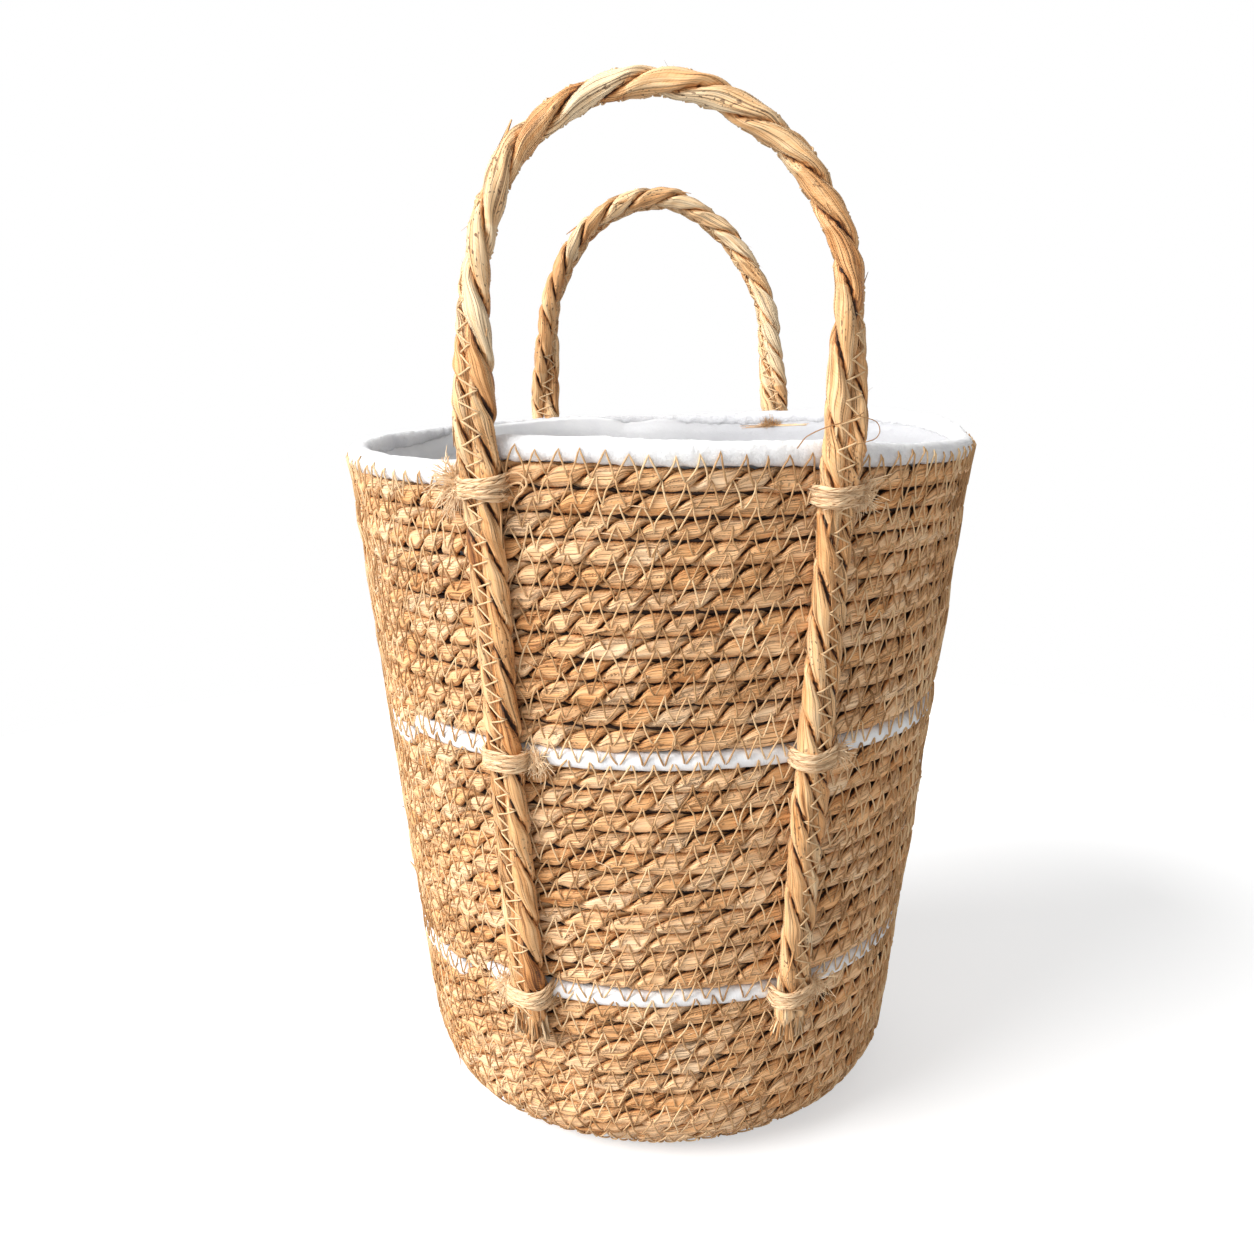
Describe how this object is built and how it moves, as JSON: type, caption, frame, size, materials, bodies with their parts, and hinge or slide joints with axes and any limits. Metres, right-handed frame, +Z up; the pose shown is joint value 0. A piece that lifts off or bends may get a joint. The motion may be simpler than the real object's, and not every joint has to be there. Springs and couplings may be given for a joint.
{
  "type": "water hyacinth basket",
  "caption": "Tall round basket of sewn water hyacinth rope with two rope handles, white accent rows, a rolled fabric rim and a cloth liner.",
  "frame": {"origin": "centre of the flat underside, on the surface that the basket stands on", "axes": "+Z up along the basket's height, +X along the handles, the front handle at -Y and the back handle at +Y"},
  "size_m": [0.2789, 0.2796, 0.4262],
  "materials": {
    "hyacinth_rope": "matte",
    "handle_rope": "matte",
    "white_cord": "matte",
    "rim_fabric": "matte",
    "liner_cloth": "matte",
    "jute_tie": "matte",
    "sewing_thread": "matte"
  },
  "bodies": {
    "basket": {"base_coil": "hyacinth_rope", "lower_wall": "hyacinth_rope", "lower_white_row": "white_cord", "middle_wall": "hyacinth_rope", "upper_white_row": "white_cord", "upper_wall": "hyacinth_rope", "rim_roll": "rim_fabric", "cloth_liner": "liner_cloth", "front_left_leg_outer_rope": "handle_rope", "front_left_leg_inner_rope": "handle_rope", "front_right_leg_outer_rope": "handle_rope", "front_right_leg_inner_rope": "handle_rope", "back_left_leg_outer_rope": "handle_rope", "back_left_leg_inner_rope": "handle_rope", "back_right_leg_outer_rope": "handle_rope", "back_right_leg_inner_rope": "handle_rope", "front_left_top_tie": "jute_tie", "front_left_middle_tie": "jute_tie", "front_left_low_tie": "jute_tie", "front_right_top_tie": "jute_tie", "front_right_middle_tie": "jute_tie", "front_right_low_tie": "jute_tie", "back_left_top_tie": "jute_tie", "back_left_middle_tie": "jute_tie", "back_left_low_tie": "jute_tie", "back_right_top_tie": "jute_tie", "back_right_middle_tie": "jute_tie", "back_right_low_tie": "jute_tie"},
    "front_handle": {"front_handle_outer_rope": "handle_rope", "front_handle_inner_rope": "handle_rope"},
    "back_handle": {"back_handle_outer_rope": "handle_rope", "back_handle_inner_rope": "handle_rope"}
  },
  "joints": [
    {"name": "front_handle_flex", "type": "hinge", "parent": "basket", "child": "front_handle", "pos_m": [0, -0.13037, 0.31311], "axis": [1, 0, 0], "range_deg": [-70, 60], "stiffness_Nm_per_rad": 0.1},
    {"name": "back_handle_flex", "type": "hinge", "parent": "basket", "child": "back_handle", "pos_m": [0, 0.13037, 0.31311], "axis": [-1, 0, 0], "range_deg": [-70, 60], "stiffness_Nm_per_rad": 0.1}
  ]
}
